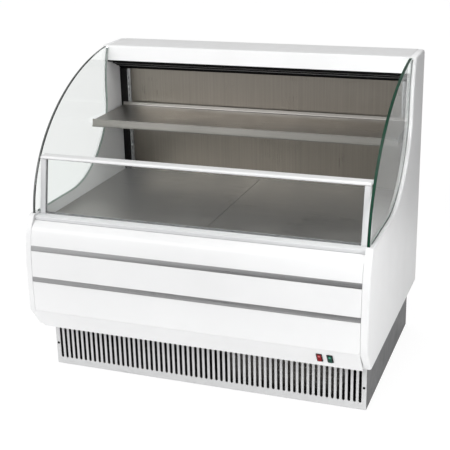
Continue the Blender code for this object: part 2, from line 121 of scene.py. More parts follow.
def neighbours(curve, i):
    return Vector(curve[max(i - 1, 0)]), Vector(curve[min(i + 1, len(curve) - 1)])


def offset_curve(curve, depth, aim):
    """The curve moved by a depth, to the side on which the aim lies."""
    result = []
    for i, (y, z) in enumerate(curve):
        before, after = neighbours(curve, i)
        run = (after - before).normalized()
        normal = Vector((-run.y, run.x))
        if normal.dot(Vector((aim[0] - y, aim[1] - z))) < 0:
            normal = -normal
        result.append((y + normal.x * depth, z + normal.y * depth))
    return result


def sheet_metal(face, thickness):
    """Outline of a folded sheet from the points of its outer face."""
    inner = []
    for i, point in enumerate(face):
        before, after = neighbours(face, i)
        here = Vector(point)
        one = (here - before).normalized() if i else (after - here).normalized()
        two = (after - here).normalized() if i < len(face) - 1 else one
        mean = (one + two).normalized()
        normal = Vector((-mean.y, mean.x))
        spread = max(0.35, normal.dot(Vector((-one.y, one.x))))
        inner.append(tuple(here + normal * thickness / spread))
    return face + list(reversed(inner))


def skin(bm, rings):
    """Faces between closed rings of vertices."""
    for one, two in zip(rings, rings[1:]):
        for j in range(len(one)):
            k = (j + 1) % len(one)
            bm.faces.new((one[j], one[k], two[k], two[j]))


def run_along_x(outline, x_from, x_to, stations=1):
    """Outline of (y, z) points swept along X as one closed solid."""
    bm = bmesh.new()
    rings = []
    for i in range(stations + 1):
        x = x_from + (x_to - x_from) * i / stations
        rings.append([bm.verts.new((x, y, z)) for y, z in outline])
    skin(bm, rings)
    bm.faces.new(rings[0])
    bm.faces.new(list(reversed(rings[-1])))
    return bm


def plate(outline, holes, thickness):
    """Flat plate with openings: drawn in local XY, thick along local +Z."""
    bm = bmesh.new()
    for loop in [outline] + holes:
        verts = [bm.verts.new((x, y, 0)) for x, y in loop]
        for one, two in zip(verts, verts[1:] + verts[:1]):
            bm.edges.new((one, two))
    bmesh.ops.triangle_fill(bm, use_beauty=True, edges=bm.edges[:])
    run = bmesh.ops.extrude_face_region(bm, geom=bm.faces[:])
    raised = [g for g in run["geom"] if isinstance(g, bmesh.types.BMVert)]
    bmesh.ops.translate(bm, vec=(0, 0, thickness), verts=raised)
    return bm


def turned(profile, segments, ring=False):
    """Profile of (radius, height) points spun about local Z."""
    bm = bmesh.new()
    verts = [bm.verts.new((r, 0, h)) for r, h in profile]
    pairs = list(zip(verts, verts[1:]))
    if ring:
        pairs.append((verts[-1], verts[0]))
    edges = [bm.edges.new(pair) for pair in pairs]
    bmesh.ops.spin(bm, geom=verts + edges, cent=(0, 0, 0), axis=(0, 0, 1),
                   angle=2 * pi, steps=segments, use_duplicate=False)
    bmesh.ops.remove_doubles(bm, verts=bm.verts[:], dist=1e-6)
    return bm


def box(low, high):
    bm = bmesh.new()
    size, middle = Vector(high) - Vector(low), (Vector(high) + Vector(low)) / 2
    bmesh.ops.create_cube(bm, size=1.0, matrix=Matrix.LocRotScale(middle, None, size))
    return bm


def merged(parts):
    """Several closed bmeshes in one."""
    whole = bmesh.new()
    for part in parts:
        spare = bpy.data.meshes.new("spare")
        part.to_mesh(spare)
        part.free()
        whole.from_mesh(spare)
        bpy.data.meshes.remove(spare)
    return whole


def transformed(bm, matrix):
    bmesh.ops.transform(bm, matrix=matrix, verts=bm.verts[:])
    return bm


def moved(bm, location=(0, 0, 0), turn_x=0.0, turn_y=0.0):
    """Turn about X, then about Y, then shift."""
    return transformed(bm, Matrix.Translation(location) @ Matrix.Rotation(turn_y, 4, "Y")
                       @ Matrix.Rotation(turn_x, 4, "X"))


def in_scene(name, data):
    item = bpy.data.objects.new(name, data)
    bpy.context.scene.collection.objects.link(item)
    return item


def as_object(name, bm, mat=None):
    """The bmesh, which is used up, as an object in the scene."""
    mesh = bpy.data.meshes.new(name)
    bm.to_mesh(mesh)
    bm.free()
    if mat:
        mesh.materials.append(mat)
    return in_scene(name, mesh)


def piece(name, bm, mat, node=None, body="cabinet", bevel=0.0006, segments=2, by_weight=False,
          angle=32, slot=None):
    """Finish a closed mesh as a named piece that may stand for a CAD node."""
    bmesh.ops.recalc_face_normals(bm, faces=bm.faces[:])
    item = as_object(name, bm, mat)
    item.data.shade_smooth()
    if bevel:
        mod = item.modifiers.new("edge", "BEVEL")
        mod.width = bevel
        mod.segments = segments
        mod.limit_method = "WEIGHT" if by_weight else "ANGLE"
        mod.angle_limit = radians(angle)
        mod.use_clamp_overlap = False
        mod.harden_normals = True
        mod.miter_outer = "MITER_ARC"
    else:
        item.data.set_sharp_from_angle(angle=radians(angle))
    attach(item, body)
    if node:
        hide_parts(node)
    return item


def extrusion(name, outline, ends, mat, node=None, **finish):
    """Piece with one outline from end to end along X."""
    piece(name, run_along_x(outline, *ends), mat, node, **finish)


def from_node(node, mat, join=True, **finish):
    """Rounded stand-in for a CAD node whose shape is right. Pierced sheets stay unjoined."""
    bm = bmesh.new()
    bm.from_mesh(CAD_NODES[node].data)
    bmesh.ops.remove_doubles(bm, verts=bm.verts[:], dist=1e-6)
    if join:
        bmesh.ops.dissolve_limit(bm, angle_limit=radians(1.0), verts=bm.verts[:],
                                 edges=bm.edges[:])
    piece(node + "_look", bm, mat, node, **finish)


# ---- materials ----
class Nodes:
    """A node tree, with short words for what the materials are made of."""

    def __init__(self, tree):
        self.tree = tree

    def feed(self, socket, value):
        """Link an output to a socket, or set the socket's own value."""
        if isinstance(value, bpy.types.NodeSocket):
            self.tree.links.new(value, socket)
        else:
            socket.default_value = value

    def add(self, kind, inputs=None, **settings):
        item = self.tree.nodes.new("ShaderNode" + kind)
        for key, value in settings.items():
            setattr(item, key, value)
        for key, value in (inputs or {}).items():
            self.feed(item.inputs[key], value)
        return item

    def point(self):
        return self.add("TexCoord").outputs["Object"]

    def axis(self, vector, name):
        return self.add("SeparateXYZ", {"Vector": vector}).outputs[name]

    def looking_up(self):
        return self.axis(self.add("NewGeometry").outputs["Normal"], "Z")

    def math(self, operation, *values):
        return self.add("Math", dict(enumerate(values)), operation=operation).outputs[0]

    def remap(self, source, low, high, new_low=0.0, new_high=1.0):
        item = self.add("MapRange", {"Value": source, "From Min": low, "From Max": high,
                                     "To Min": new_low, "To Max": new_high})
        return item.outputs["Result"]

    def noise(self, scale, spread=None, stretch=(1, 1, 1), detail=3.0, offset=0.0):
        """Noise in object space, remapped by spread; stretch below 1 draws it out."""
        place = self.add("Mapping", {"Vector": self.point(), "Scale": stretch,
                                     "Location": (offset, offset, offset)})
        field = self.add("TexNoise", {"Vector": place.outputs["Vector"], "Scale": scale,
                                      "Detail": detail, "Roughness": 0.55}).outputs["Fac"]
        return self.remap(field, *spread) if spread else field

    def mix(self, factor, one, two):
        """Blend of two colours, each a tuple or an output."""
        item = self.add("Mix", {"Factor": factor}, data_type="RGBA")
        ends = [socket for socket in item.inputs if socket.type == "RGBA"]
        for socket, value in zip(ends, (one, two)):
            self.feed(socket, (*value, 1.0) if isinstance(value, tuple) else value)
        return [socket for socket in item.outputs if socket.type == "RGBA"][0]


class Material(Nodes):
    """One Principled material."""

    def __init__(self, name, metallic=0.0, specular=0.5, coat=0.0, coat_rough=0.1):
        self.data = bpy.data.materials.new(name)
        self.data.use_nodes = True
        super().__init__(self.data.node_tree)
        self.shader = self.tree.nodes["Principled BSDF"]
        self.surface({"Metallic": metallic, "Specular IOR Level": specular,
                      "Coat Weight": coat, "Coat Roughness": coat_rough})

    def surface(self, inputs):
        for key, value in inputs.items():
            self.feed(self.shader.inputs[key], value)

    def bump(self, height, distance, strength):
        """Lay one more bump over what the shader's normal already has."""
        item = self.add("Bump", {"Height": height, "Distance": distance, "Strength": strength})
        normal = self.shader.inputs["Normal"]
        if normal.is_linked:
            self.feed(item.inputs["Normal"], normal.links[0].from_socket)
        self.feed(normal, item.outputs["Normal"])

    def dusty(self, colour, amount, tone=(0.42, 0.41, 0.39)):
        """A little dust on faces that look up, broken up by noise."""
        if not amount:
            return colour
        facing = self.remap(self.looking_up(), 0.75, 1.0, 0.0, amount)
        cloud = self.noise(26.0, (0.42, 0.70), detail=5.0, offset=3.0)
        return self.mix(self.math("MULTIPLY", facing, cloud), colour, tone)

    def blend(self, factor, other):
        """Show another shader over this one, by a factor."""
        mixed = self.add("MixShader", {0: factor, 1: self.shader.outputs[0],
                                       2: other.outputs[0]})
        out = [n for n in self.tree.nodes if n.type == "OUTPUT_MATERIAL"][0]
        self.feed(out.inputs["Surface"], mixed.outputs[0])


def times(colour, factor):
    return tuple(c * factor for c in colour)


def painted(name, colour, rough, shade=0.96, coat=0.0, dust=0.08, low_patches=0.0):
    """Powder coat: faint orange peel, soft cloudiness, greyish patches that grow towards the floor.
    """
    m = Material(name, coat=coat, coat_rough=0.08)
    tint = m.mix(m.noise(3.2, (0.30, 0.70), detail=4.0), colour, times(colour, shade))
    speck = m.noise(900.0, (0.66, 0.80, 0.0, 0.30), detail=2.0, offset=5.0)
    tint = m.dusty(m.mix(speck, tint, times(colour, 0.80)), dust)
    if low_patches:
        low = m.remap(m.axis(m.point(), "Z"), 0.0, 0.22, low_patches, 0.0)
        marks = m.noise(38.0, (0.56, 0.70), (0.35, 1, 1.6), 6.0, 9.0)
        tint = m.mix(m.math("MULTIPLY", low, marks), tint,
                     tuple(0.5 * c + 0.08 for c in colour))
    wander = m.noise(14.0, (0.3, 0.7, rough - 0.05, rough + 0.07), detail=4.0, offset=1.0)
    m.surface({"Base Color": tint, "Roughness": wander})
    m.bump(m.noise(620.0, detail=1.5), 0.00004, 0.55)
    m.bump(m.noise(9.0, detail=1.0, offset=2.0), 0.0007, 0.10)
    return m.data


def brushed(name, colour, rough, grain_axis=0, depth=0.00003, shade=0.86, metallic=1.0,
            dust=0.06, smears=0.10):
    """Brushed sheet: hair lines drawn out along one axis, faint smears over them."""
    m = Material(name, metallic=metallic)
    stretch = [1.0, 1.0, 1.0]
    stretch[grain_axis] = 0.006
    hair = m.noise(820.0, stretch=tuple(stretch))
    stretch[grain_axis] = 0.012
    bands = m.noise(150.0, (0.30, 0.70), tuple(stretch), 4.0, 4.0)
    tint = m.mix(bands, colour, times(colour, shade))
    tint = m.mix(m.remap(hair, 0.55, 0.75, 0.0, 0.35), tint, times(colour, 0.72))
    smear = m.noise(5.5, (0.38, 0.72, 0.0, smears), detail=5.0, offset=7.0)
    fine = m.remap(hair, 0.3, 0.7, rough - 0.06, rough + 0.08)
    m.surface({"Base Color": m.dusty(tint, dust), "Roughness": m.math("ADD", fine, smear)})
    m.bump(hair, depth, 0.6)
    return m.data


def spangled(name, colour, rough=0.38):
    """Galvanised sheet with its crystal pattern."""
    m = Material(name, metallic=0.9)
    cells = m.add("TexVoronoi", {"Vector": m.point(), "Scale": 70.0, "Randomness": 1.0})
    grey = m.add("RGBToBW", {"Color": cells.outputs["Color"]}).outputs[0]
    tint = m.mix(grey, times(colour, 0.82), colour)
    m.surface({"Base Color": m.dusty(tint, 0.25),
               "Roughness": m.remap(grey, 0.0, 1.0, rough - 0.08, rough + 0.12)})
    m.bump(m.noise(380.0), 0.00005, 0.4)
    return m.data


def moulded(name, colour, rough, grain=0.00006, scale=1100.0, specular=0.5, shade=0.8, dust=0.10,
            underside_shade=None):
    """Moulded plastic or rubber with a fine spark-eroded grain."""
    m = Material(name, specular=specular)
    tint = m.mix(m.noise(12.0, (0.3, 0.7), detail=4.0), colour, times(colour, shade))
    tint = m.dusty(tint, dust, (0.22, 0.215, 0.205))
    # Painted shade: faces that look straight down are painted with this darker colour, as the shade
    # under things.
    if underside_shade:
        tint = m.mix(m.remap(m.looking_up(), -0.98, -0.90, 1.0, 0.0), tint, underside_shade)
    wander = m.noise(40.0, (0.3, 0.7, rough - 0.06, rough + 0.08), detail=4.0, offset=2.0)
    m.surface({"Base Color": tint, "Roughness": wander})
    m.bump(m.noise(scale, detail=2.0, offset=6.0), grain, 0.6)
    return m.data


def glass(name, colour):
    """Clear float glass with a trace of wiping marks, which lets the lamps' light through."""
    m = Material(name)
    tint = (*colour, 1.0)
    wipe = m.noise(7.0, (0.45, 0.80, 0.0, 0.045), (1.0, 1.0, 0.35), 6.0, 2.0)
    m.surface({"Base Color": tint, "Transmission Weight": 1.0, "IOR": 1.45, "Roughness": wipe})
    m.blend(m.add("LightPath").outputs["Is Shadow Ray"], m.add("BsdfTransparent", {"Color": tint}))
    return m.data


def glass_edge(name, colour, bright, coat):
    """Ground edge of a pane, where the glass shows its own green; a grey copy stands for a lit edge
    as painted light.
    """
    m = Material(name, specular=0.25, coat=coat, coat_rough=0.10)
    streak = m.noise(60.0, (0.30, 0.75), (1, 0.4, 0.4), 4.0)
    m.surface({"Base Color": m.mix(streak, colour, bright),
               "Roughness": m.noise(300.0, (0.3, 0.7, 0.12, 0.28))})
    m.bump(m.noise(700.0, stretch=(1, 0.05, 0.05)), 0.00002, 0.4)
    return m.data


def lit_lens(name, colour, glow, spot, strength):
    """Tinted rocker: saturated body that brightens round the lamp behind it."""
    m = Material(name, specular=0.12, coat=0.03, coat_rough=0.06)
    away = m.add("VectorMath", {0: m.point(), 1: spot}, operation="DISTANCE")
    near = m.remap(away.outputs["Value"], 0.0012, 0.0080, 1.0, 0.0)
    ribs = m.noise(500.0, (0.3, 0.7, 0.85, 1.0), (1, 0.2, 0.2))
    heat = m.math("MULTIPLY", m.math("MULTIPLY", near, near), ribs)
    tint = m.mix(heat, colour, glow)
    m.surface({"Base Color": tint, "Emission Color": tint, "Emission Strength": strength,
               "Roughness": m.noise(200.0, (0.3, 0.7, 0.12, 0.22))})
    m.bump(m.noise(900.0), 0.00002, 0.5)
    return m.data


def opal(name, colour, strength):
    """Lamp tube: opal plastic, a touch darker at its ends."""
    m = Material(name)
    ends = m.remap(m.math("ABSOLUTE", m.axis(m.point(), "X")), 0.49, 0.55, 0.0, 0.6)
    tint = m.mix(ends, colour, (0.55, 0.54, 0.50))
    m.surface({"Base Color": tint, "Emission Color": tint, "Emission Strength": strength,
               "Roughness": m.noise(90.0, (0.3, 0.7, 0.30, 0.42))})
    m.bump(m.noise(700.0), 0.00003, 0.4)
    return m.data


def woven(name, colour, thread):
    """Plain-woven blind cloth: crossing threads about a millimetre apart."""
    m = Material(name, metallic=0.25, specular=0.4)
    waves = [m.add("TexWave", {"Vector": m.point(), "Scale": 0.5 / thread, "Distortion": 0.6,
                               "Detail": 2.0, "Detail Scale": 3.0},
                   bands_direction=direction, wave_profile="SIN").outputs["Fac"]
             for direction in ("X", "Z")]
    cross = m.math("MULTIPLY", *waves)
    tint = m.mix(cross, times(colour, 0.55), colour)
    cloud = m.noise(20.0, (0.3, 0.7, 0.0, 0.5), detail=4.0)
    m.surface({"Base Color": m.mix(cloud, tint, times(colour, 0.85)),
               "Roughness": m.remap(cross, 0.0, 1.0, 0.72, 0.50)})
    m.bump(cross, 0.00025, 0.8)
    return m.data


def floor_material():
    """Studio floor: white to the eye; its bounce falls off in front and behind the right."""
    m = Material("studio_floor", specular=0.15)
    x, y = m.axis(m.point(), "X"), m.axis(m.point(), "Y")
    left = m.remap(x, -1.75, -1.00, 1.0, 0.0)
    behind = m.math("MULTIPLY", m.remap(x, 0.30, 0.80), m.remap(y, 1.30, 2.20, 0.0, 0.88))
    near = m.math("MULTIPLY", m.remap(y, -1.50, -1.10), m.remap(behind, 0.0, 1.0, 1.0, 0.0))
    pale = m.math("MAXIMUM", left, near)
    bounce = m.mix(pale, (0.10, 0.10, 0.10), (0.84, 0.84, 0.84))
    path = m.add("LightPath").outputs
    seen = m.math("MAXIMUM", path["Is Camera Ray"], path["Is Transmission Ray"])
    m.surface({"Base Color": m.mix(seen, bounce, (0.93, 0.93, 0.93)), "Roughness": 0.75,
               "Emission Color": (0.27, 0.27, 0.27, 1.0), "Emission Strength": pale})
    white = m.add("Emission", {"Color": (1.0, 1.0, 1.0, 1.0), "Strength": 1.05})
    m.blend(m.math("MULTIPLY", seen, 0.80), white)
    return m.data


WHITE = painted("white_powder_coat", (0.83, 0.832, 0.835), 0.36, coat=0.10)
# The posts are the body's white paint, painted darker as painted shade.
POST_WHITE_PAINTED_SHADE = painted("white_powder_coat_posts_painted_shade", (0.62, 0.624, 0.634), 0.40)
# The base grille is the body's white paint, painted darker as painted shade.
WHITE_BASE_PAINTED_SHADE = painted("white_powder_coat_base_painted_shade", (0.60, 0.602, 0.605), 0.38, low_patches=0.30)
# The lining's faces that look straight down are painted near black as painted shade, as on the
# tub's bottom seen through the grille slots.
LINING = moulded("white_moulded_lining", (0.80, 0.805, 0.80), 0.42, 0.00005, 700.0,
                 shade=0.96, dust=0.05, underside_shade=(0.060, 0.060, 0.062))
DARK = painted("satin_dark_grey", (0.085, 0.085, 0.088), 0.42, shade=0.86, dust=0.20, low_patches=0.4)
ACCENT = brushed("anodised_grey", (0.42, 0.42, 0.425), 0.30, metallic=0.9, smears=0.04)
BLACK = moulded("black_plastic", (0.006, 0.006, 0.0065), 0.45, specular=0.22, dust=0.05)
BAND_BLACK = moulded("matt_black_extrusion", (0.006, 0.006, 0.0065), 0.55, 0.00001, 400.0,
                     specular=0.03, dust=0.0)
RIB = moulded("grey_rib", (0.150, 0.150, 0.152), 0.40, 0.00001, 400.0, specular=0.3, dust=0.0)
RUBBER = moulded("grey_gasket", (0.10, 0.10, 0.105), 0.62, 0.0001, 600.0)
# The sill is one steel: its top is painted lighter as painted light and its front trim darker as
# painted shade.
SILL_TOP_PAINTED_LIT = brushed("sill_steel_painted_lit", (0.89, 0.90, 0.91), 0.42, metallic=0.10, smears=0.05)
SILL_NOSE_PAINTED_SHADE = brushed("sill_steel_painted_shade", (0.74, 0.745, 0.755), 0.48, metallic=0.10, smears=0.05)
STEEL = brushed("brushed_steel", (0.40, 0.385, 0.365), 0.30)
# The rear lining steel is painted dark and warm brown as a painted reflection of goods on display.
REAR_STEEL_PAINTED_REFLECTION = brushed("rear_lining_steel_painted_reflection", (0.235, 0.215, 0.188), 0.30, 2, depth=0.00002,
                     shade=0.88, smears=0.12)
# The base pan is painted near black as painted shade, standing for the dark inside of the base seen
# through the grille slots.
PAN_METAL_PAINTED_SHADE = spangled("pan_metal_painted_shade", (0.070, 0.070, 0.072), 0.55)
RAIL_STEEL = brushed("price_rail_steel", (0.20, 0.195, 0.18), 0.34)
ZINC = spangled("galvanised_sheet", (0.52, 0.53, 0.54))
FINS = brushed("coil_fins", (0.42, 0.41, 0.39), 0.36, 2, shade=0.6, metallic=0.9, dust=0.1)
FINS_PALE = brushed("evaporator_fins", (0.62, 0.63, 0.64), 0.36, 2, shade=0.8)
CLEAR = glass("clear_glass", (0.965, 0.985, 0.975))
GREEN_EDGE = glass_edge("glass_edge_green", (0.001, 0.026, 0.012), (0.006, 0.056, 0.030), 0.10)
# The left pane's edge is the same green glass, painted a paler grey as a painted highlight of a lit
# edge.
GLASS_EDGE_PAINTED_LIGHT = glass_edge("glass_edge_painted_light", (0.08, 0.088, 0.085), (0.15, 0.16, 0.155), 0.2)
PALE_SEAL = moulded("clear_green_seal", (0.44, 0.55, 0.50), 0.30, 0.00003, 500.0)
CLOTH = woven("blind_cloth", (0.55, 0.56, 0.58), 0.0011)
LAMP = opal("opal_lamp", (0.98, 0.97, 0.93), 5.0)
DARK_SCREW = moulded("blackened_screw", (0.006, 0.006, 0.006), 0.55, 0.00002, specular=0.06,
                     dust=0.02)
BRIGHT_SCREW = brushed("zinc_screw", (0.60, 0.60, 0.58), 0.30)


# ---- outlines, all as (y, z) ----
BODY_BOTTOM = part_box("end_wall_right")[0].z
LEDGE_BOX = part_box("front_ledge")
LEDGE_TOP, LEDGE_FRONT = LEDGE_BOX[1].z, LEDGE_BOX[0].y
WALL_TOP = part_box("end_glass_right")[0].z - 0.0003
FASCIA_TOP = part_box("upper_panel")[1].z
CHAMFER_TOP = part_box("lower_panel")[0].z
STRIPES = [[corner.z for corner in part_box(name + "_accent_strip")] for name in ("upper", "lower")]
SHOULDER_Y, SHOULDER_RADIUS = -0.3874, 0.025
ROLL_FROM = 0.588                     # above this the fascia rolls back to the sill
CHAMFER_FOOT = -0.398
CANOPY_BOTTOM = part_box("canopy")[0].z
POST_LEAN = 0.190                     # how far the posts lean back for each metre up


def fascia_curve():
    """Front of the cabinet from its shoulder down to the chamfer."""
    bulge = bezier((-0.4115, WALL_TOP - 0.0185), (-0.4400, 0.585), (-0.4470, 0.500),
                   (FRONT, 0.380), 40)
    return bulge + [(FRONT, 0.330), (FRONT, CHAMFER_TOP)]


def fascia_y(z):
    curve = fascia_curve()
    for (y0, z0), (y1, z1) in zip(curve, curve[1:]):
        if z1 <= z <= z0:
            return y1 + (y0 - y1) * (z - z1) / (z0 - z1) + roll_back(z)
    return FRONT


def roll_back(z):
    """How far the fascia's top turns in behind the rims of the end walls."""
    rise = max(z - ROLL_FROM, 0.0) / (FASCIA_TOP - ROLL_FROM)
    return 0.0163 * rise * rise


def end_wall_front(steps=40):
    """Edge of an end wall that faces the glass, from its top down to the sill."""
    head = bezier((0.2750, HEIGHT), (0.2560, 1.1000), (0.2390, 1.0600), (0.2390, 0.930), 12)
    return head[:-1] + bezier((0.2390, 0.930), (0.2390, 0.820), (0.100, WALL_TOP),
                              (-0.100, WALL_TOP), steps)


def end_wall_outline():
    toe = arc((-0.3765, BODY_BOTTOM + 0.020), 0.020, 215, 270, 8)
    crown = arc((REAR - 0.015, HEIGHT - 0.015), 0.015, 0, 90, 8)
    shoulder = arc((SHOULDER_Y, WALL_TOP - SHOULDER_RADIUS), SHOULDER_RADIUS, 90, 165, 8)
    return [(REAR, BODY_BOTTOM)] + crown + end_wall_front() + shoulder + fascia_curve()[1:] + toe


def end_glass_outline():
    """A pane's swept front line, and the rest of its outline along the end wall."""
    sweep = bezier((0.2620, 1.1425), (-0.108, 1.098), (-0.365, 0.883), (-0.389, 0.643), 64)
    foot = [(-0.3900, WALL_TOP + 0.0004)]
    edge = [(y - 0.0008, z + 0.0004) for y, z in reversed(end_wall_front()[1:])]
    return sweep, foot + edge + [(0.2730, 1.1425)]


def lean(z):
    """Front face of the posts, which lean back as they rise."""
    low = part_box("glass_post_right")[0]
    return low.y + (z - low.z) * POST_LEAN


def leaning(low, high, near, far, trim=0.0):
    """Outline of an upright strip between two depths behind the posts' face."""
    y0, y1, z0, z1 = lean(low), lean(high), low + trim, high - trim
    return [(y0 + near, z0), (y1 + near, z1), (y1 + far, z1), (y0 + far, z0)]


# ---- casing ----
def end_walls():
    for side, sign in SIDES:
        inner, outer = sign * END_IN, sign * END_OUT
        bm = run_along_x(end_wall_outline(), inner, outer)
        layer = bm.edges.layers.float.new("bevel_weight_edge")
        for x, weight in ((outer, 1.0), (inner, 0.15)):
            for edge in bm.edges:
                if all(abs(v.co.x - x) < 1e-6 for v in edge.verts):
                    edge[layer] = weight
        piece("end_wall_" + side + "_shell", bm, WHITE, "end_wall_" + side,
              bevel=0.008, segments=6, by_weight=True)


def fascia_panel(name, low, high, node):
    """One stretch of the fascia, as a sheet 2.2 mm thick."""
    levels = [z for _, z in fascia_curve() if low + 0.003 < z < min(high - 0.003, ROLL_FROM)]
    if high > ROLL_FROM:
        levels = [ROLL_FROM + (high - ROLL_FROM) * i / 12 for i in range(11, -1, -1)] + levels
    face = [(fascia_y(z), z) for z in [high] + levels + [low]]
    inner = [(y + 0.0022, min(max(z, low + 0.0004), high - 0.0004)) for y, z in reversed(face)]
    extrusion(name, face + inner, ACROSS, WHITE, node, bevel=0.0007, segments=3, angle=40)


def fascia():
    hem = 0.0002
    fascia_panel("fascia_upper", STRIPES[0][1] + hem, FASCIA_TOP - 0.0001, "upper_panel")
    fascia_panel("fascia_middle", STRIPES[1][1] + hem, STRIPES[0][0] - hem, "middle_panel")
    fascia_panel("fascia_lower", CHAMFER_TOP, STRIPES[1][0] - hem, "lower_panel")
    for name, (low, high) in zip(("upper", "lower"), STRIPES):
        face = []
        for i in range(9):
            z = low + (high - low) * i / 8
            t = (z - low) / (high - low) * 2 - 1
            face.append((fascia_y(z) + 0.0013 + 0.0003 * t * t, z))
        back = [(y + 0.0016, z) for y, z in reversed(face)]
        extrusion("accent_" + name, face + back, ACROSS, ACCENT, name + "_accent_strip",
                  bevel=0.0003, angle=50)


SWITCHES = {"red": 0.467, "green": 0.504}
WINDOW_X, WINDOW_Y = 0.0155 / 2, 0.0380 / 2


def chamfer():
    """Chamfer panel with its switches. Local Y points up the slope."""
    top = Vector((0, FRONT, CHAMFER_TOP))
    foot = Vector((0, CHAMFER_FOOT, BODY_BOTTOM + 0.0005))
    centre, up = (top + foot) / 2, top - foot
    turn, half = atan2(up.z, up.y), up.length / 2
    outward = Vector((0, -sin(turn), cos(turn)))
    w, h = WINDOW_X + 0.0013, WINDOW_Y + 0.0013
    holes = [rounded_rectangle(x - w, -h, x + w, h, 0.0012, 3) for x in SWITCHES.values()]
    bm = plate(rectangle(-INSIDE, -half, INSIDE, half - 0.0010), holes, 0.002)
    piece("chamfer_panel", moved(bm, centre - outward * 0.002, turn), WHITE, "switch_panel",
          bevel=0.0004)
    for name, x in SWITCHES.items():
        spot = centre + Vector((x, 0, 0))
        w, h = WINDOW_X + 0.0028, WINDOW_Y + 0.003
        window = rounded_rectangle(-WINDOW_X, -WINDOW_Y, WINDOW_X, WINDOW_Y, 0.0008, 3)
        bezel = plate(rounded_rectangle(-w, -h, w, h, 0.0022), [window], 0.0022)
        piece("switch_frame_" + name, moved(bezel, spot + outward * 0.0003, turn), BLACK,
              "switch_bezel_" + name, bevel=0.0005, segments=3)
        rocker(name, spot, turn)


def rocker(name, spot, turn):
    """Rocker with two dished halves and a lamp pip, tipped 7 degrees."""
    half = 0.0180
    face = [(-half, -0.0050), (half, -0.0050), (half, 0.0042)]
    for i in range(1, 24):
        y = half - 2 * half * i / 24
        t = abs(y) / half
        face.append((y, 0.0040 + 0.0012 * sin(pi * t) * (1 - t) + 0.0004 * t * t))
    face.append((-half, 0.0042))
    colour, glow = {"red": ((0.190, 0.003, 0.007), (0.62, 0.17, 0.17)),
                    "green": ((0.0, 0.040, 0.026), (0.10, 0.40, 0.28))}[name]
    matrix = Matrix.Translation(spot) @ Matrix.Rotation(turn - radians(7), 4, "X")
    lamp = tuple(matrix @ Vector((0.0, 0.0085, 0.0052)))
    place = {"body": "rocker_" + name, "slot": name + "_lens"}
    cap = run_along_x(face, -WINDOW_X + 0.0006, WINDOW_X - 0.0006, 6)
    piece("rocker_" + name + "_cap", transformed(cap, matrix),
          lit_lens(name + "_lens", colour, glow, lamp, 0.10), "rocker_" + name, bevel=0.0005,
          segments=3, angle=40, **place)
    pip = turned([(0, 0.0), (0.0017, 0.0), (0.0016, 0.0003), (0.0010, 0.0006), (0, 0.0007)], 20)
    transformed(pip, matrix @ Matrix.Translation((0, 0.0085, 0.0044)))
    piece("rocker_" + name + "_pip", pip, lit_lens(name + "_pip", glow, glow, lamp, 0.25),
          bevel=0, **place)


# ---- base ----
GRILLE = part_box("front_grille")
SLOT_PITCH, SLOT_HALF_WIDTH = 0.0199, 0.0052
SLOT_LOW, SLOT_HIGH = 0.032, 0.157
SLOT_COUNT = 60
SCREW_X, SCREW_Z = 0.6005, 0.0915


def base():
    r = SLOT_HALF_WIDTH
    centres = [(i - (SLOT_COUNT - 1) / 2) * SLOT_PITCH for i in range(SLOT_COUNT)]
    slots = [arc((x, SLOT_HIGH - r), r, 0, 180, 8) + arc((x, SLOT_LOW + r), r, 180, 360, 8)
             for x in centres]
    slots += [arc((sign * SCREW_X, SCREW_Z), 0.0024, 0, 337.5, 15) for _, sign in SIDES]
    low, high = GRILLE
    bm = plate(rectangle(low.x, low.z, high.x, high.z), slots, 0.0018)
    piece("grille_sheet", moved(bm, (0, high.y, 0), pi / 2), WHITE_BASE_PAINTED_SHADE, "front_grille",
          bevel=0.00035)
    hem = rectangle(high.y + 0.0002, low.z, high.y + 0.010, low.z + 0.0016)
    extrusion("grille_hem", hem, (-0.600, 0.600), WHITE_BASE_PAINTED_SHADE, bevel=0.0003)
    for side, sign in SIDES:
        piece("base_side_" + side + "_sheet", box(*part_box("base_side_" + side)), DARK,
              "base_side_" + side)
        screw("grille_screw_" + side, (sign * SCREW_X, low.y, SCREW_Z), pi / 2, 0.0048)
    from_node("base_rear_grille", DARK, bevel=0.0004, join=False)
    from_node("base_pan", PAN_METAL_PAINTED_SHADE, bevel=0.0005)
    feet()


def screw(node, spot, turn, radius):
    """Black pan-head screw with a cross recess; the head looks along local +Z."""
    profile = [(0, -0.004), (radius * 0.42, -0.004), (radius * 0.42, 0.0001), (radius, 0.0001),
               (radius * 0.97, radius * 0.18), (radius * 0.80, radius * 0.38),
               (radius * 0.50, radius * 0.50), (0, radius * 0.54)]
    head = piece(node + "_head", moved(turned(profile, 28), spot, turn), DARK_SCREW, node,
                 bevel=0, angle=50)
    arm, width = radius * 0.52, radius * 0.13
    cross = []
    for x, y in ((1, 0), (0, -1), (-1, 0), (0, 1)):
        cross += [(a * x - b * y, a * y + b * x)
                  for a, b in ((-width, -arm), (-width, -width), (-arm, -width))]
    recess = moved(moved(plate(cross, [], radius), (0, 0, radius * 0.22)), spot, turn)
    bmesh.ops.recalc_face_normals(recess, faces=recess.faces[:])
    tool = as_object(node + "_recess", recess)
    mod = head.modifiers.new("recess", "BOOLEAN")
    mod.operation = "DIFFERENCE"
    mod.solver = "EXACT"
    mod.object = tool
    cut = head.evaluated_get(bpy.context.evaluated_depsgraph_get())
    mesh = bpy.data.meshes.new_from_object(cut)
    head.modifiers.clear()
    head.data = mesh
    bpy.data.objects.remove(tool, do_unlink=True)


